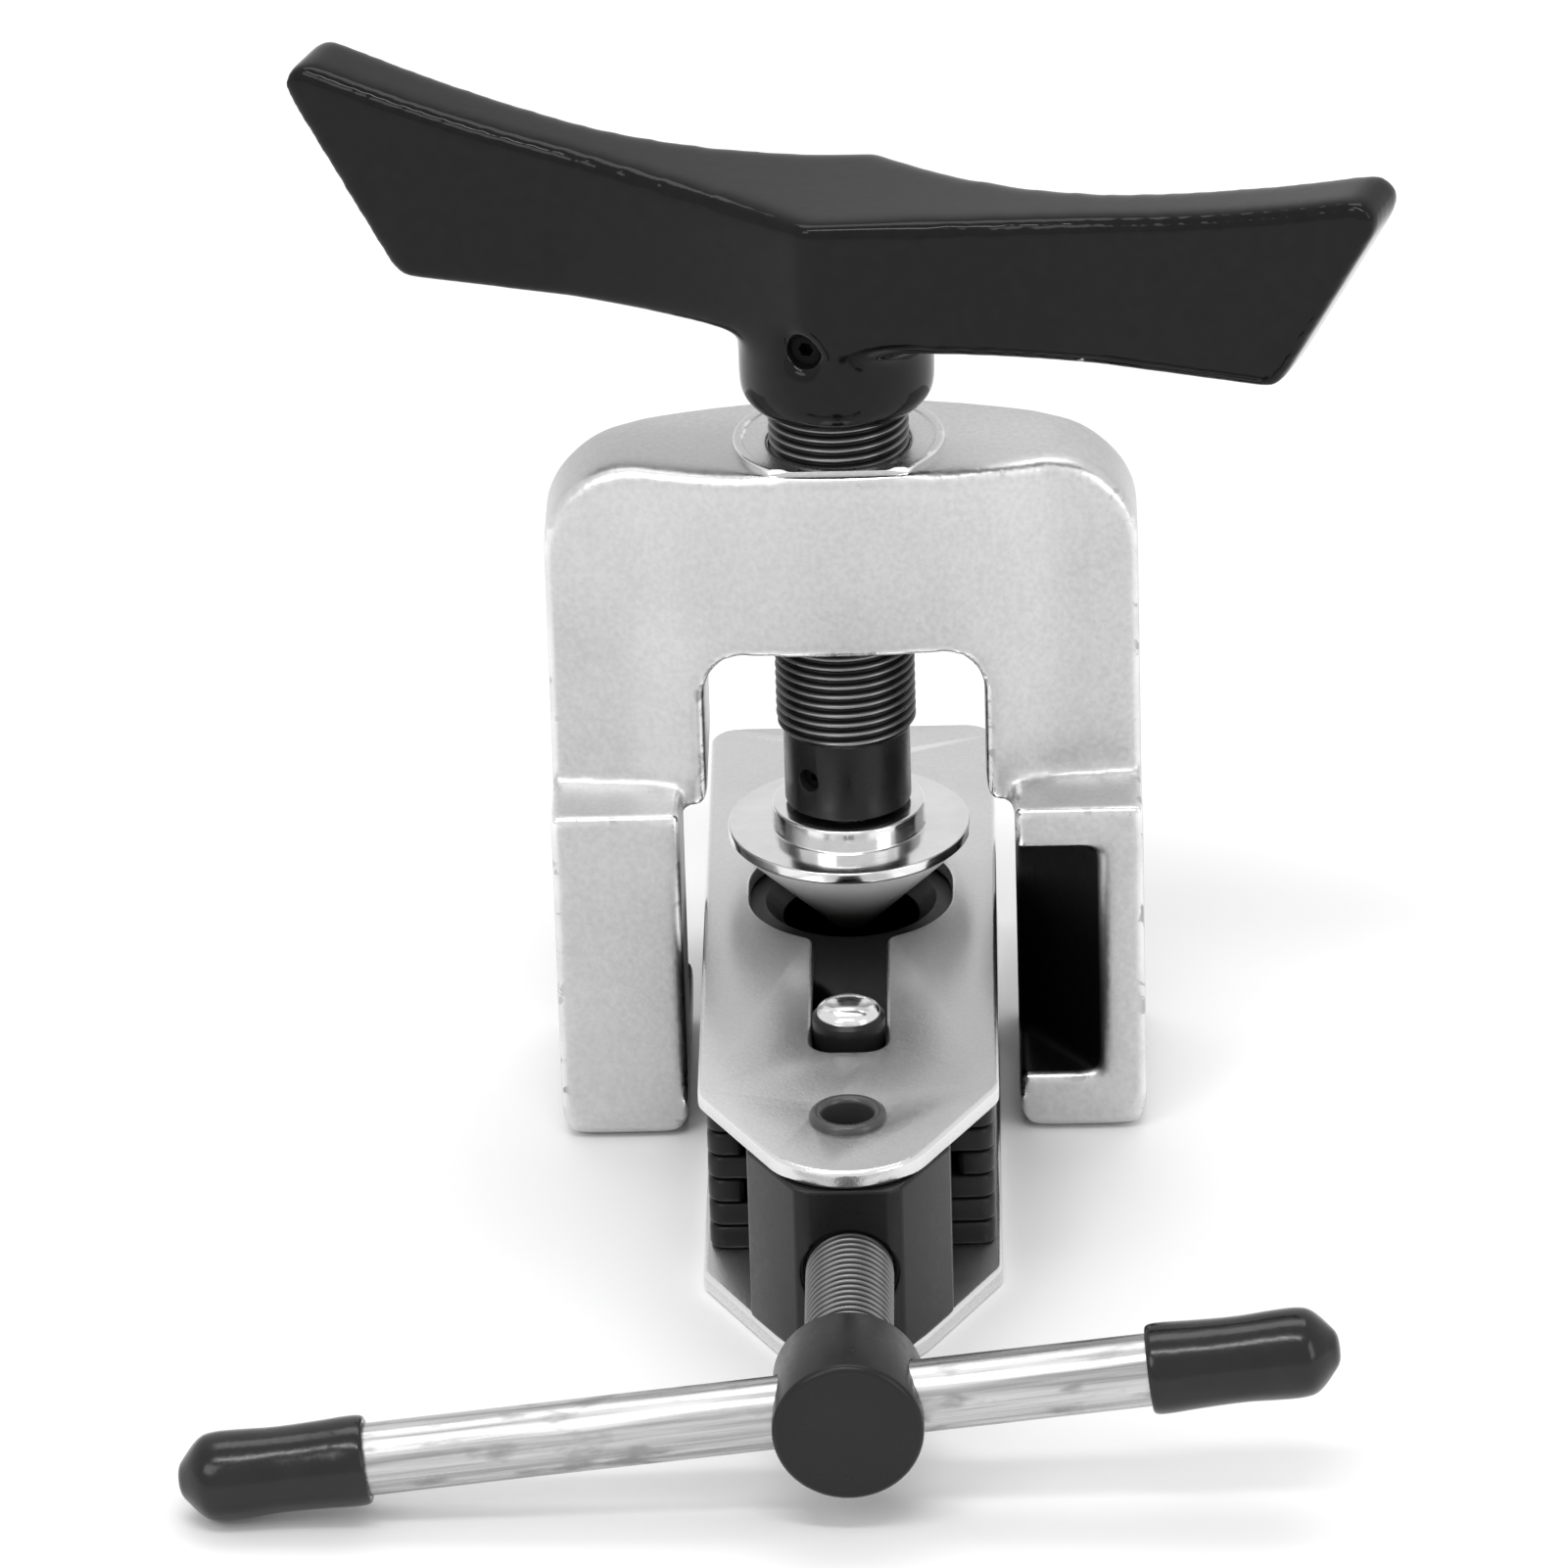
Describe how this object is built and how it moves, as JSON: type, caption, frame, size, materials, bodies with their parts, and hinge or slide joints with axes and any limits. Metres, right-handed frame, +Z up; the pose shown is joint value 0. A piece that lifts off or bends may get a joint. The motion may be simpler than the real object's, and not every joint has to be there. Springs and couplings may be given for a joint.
{
  "type": "tube flaring tool",
  "caption": "Flaring tool for metal tube: swinging die leaves between side plates grip the tube, and a wing-handled feed screw in a hooked yoke drives a polished cone into its end.",
  "frame": {"origin": "on the feed screw's axis, which is the tube's axis, at the underside of the bottom plate and of the yoke's legs", "axes": "+Z up along the feed screw towards the wing handle, +Y from the clamp screw's head back to the die leaves' pivot, +X to the right seen from the clamp screw's head"},
  "size_m": [0.1376, 0.1498, 0.1226],
  "materials": {
    "nickel_plate": "nickel plated steel plate, satin, with bright rounded edges",
    "nickel_casting": "nickel plated casting, satin, finely pebbled",
    "black_steel": "black oxide steel, satin, oiled",
    "die_steel": "dark heat treated steel, satin",
    "rivet_steel": "dark bare steel",
    "polished_steel": "polished steel",
    "bright_bar": "bright plated bar, scratched along its length",
    "black_vinyl": "dipped black vinyl, semi-gloss",
    "black_enamel": "black gloss enamel, worn bright along the edges"
  },
  "bodies": {
    "die_body": {"top_plate": "nickel_plate", "bottom_plate": "nickel_plate", "nut_block": "black_steel", "front_rivet_top": "rivet_steel", "front_rivet_bottom": "rivet_steel", "rear_pivot_rivet": "rivet_steel"},
    "yoke": {"yoke": "nickel_casting"},
    "cone_carriage": {"flaring_cone": "polished_steel", "thrust_ball": "polished_steel"},
    "feed": {"feed_screw": "black_steel", "feed_handle": "black_enamel", "handle_set_screw": "rivet_steel", "cone_retaining_screw": "rivet_steel"},
    "clamp_slide": {"clamp_pin": "black_steel", "pin_collar_top": "black_steel", "pin_collar_bottom": "black_steel", "pin_dome": "polished_steel", "snap_ring": "rivet_steel"},
    "clamp_screw": {"clamp_screw": "black_steel"},
    "tbar": {"t_bar": "bright_bar", "bar_cap_left": "black_vinyl", "bar_cap_right": "black_vinyl"},
    "leaves_a": {"die_leaf_1": "die_steel", "die_leaf_3": "die_steel", "die_leaf_5": "die_steel", "die_leaf_7": "die_steel"},
    "leaves_b": {"die_leaf_2": "die_steel", "die_leaf_4": "die_steel", "die_leaf_6": "die_steel"}
  },
  "joints": [
    {"name": "yoke_lift", "type": "slide", "parent": "die_body", "child": "yoke", "axis": [0, 0, 1], "range_m": [0, 0.035]},
    {"name": "cone_feed", "type": "slide", "parent": "yoke", "child": "cone_carriage", "axis": [0, 0, 1], "range_m": [-0.001, 0.0216]},
    {"name": "handle_turn", "type": "hinge", "parent": "cone_carriage", "child": "feed", "pos_m": [0, 0, 0.105], "axis": [0, 0, 1], "range_deg": [-300, 6480]},
    {"name": "clamp_slide", "type": "slide", "parent": "die_body", "child": "clamp_slide", "axis": [0, 1, 0], "range_m": [0, 0.012]},
    {"name": "clamp_turn", "type": "hinge", "parent": "clamp_slide", "child": "clamp_screw", "pos_m": [0, -0.0995, 0.0128], "axis": [0, 1, 0], "range_deg": [0, 3600]},
    {"name": "tbar_slide", "type": "slide", "parent": "clamp_screw", "child": "tbar", "axis": [0.994, 0, 0.1097], "range_m": [-0.024, 0.043]},
    {"name": "leaves_a_swing", "type": "hinge", "parent": "die_body", "child": "leaves_a", "pos_m": [0, 0.0335, 0.0128], "axis": [0, 0, 1], "range_deg": [0, 6.5]},
    {"name": "leaves_b_swing", "type": "hinge", "parent": "die_body", "child": "leaves_b", "pos_m": [0, 0.0335, 0.0128], "axis": [0, 0, 1], "range_deg": [-6.5, 0]}
  ],
  "couplings": [
    {"joint": "cone_feed", "follows": "handle_turn", "m_per_rad": 0.00019099},
    {"joint": "clamp_slide", "follows": "clamp_turn", "m_per_rad": 0.00019099},
    {"joint": "leaves_a_swing", "follows": "clamp_turn", "ratio": 0.0018056},
    {"joint": "leaves_b_swing", "follows": "clamp_turn", "ratio": -0.0018056}
  ]
}
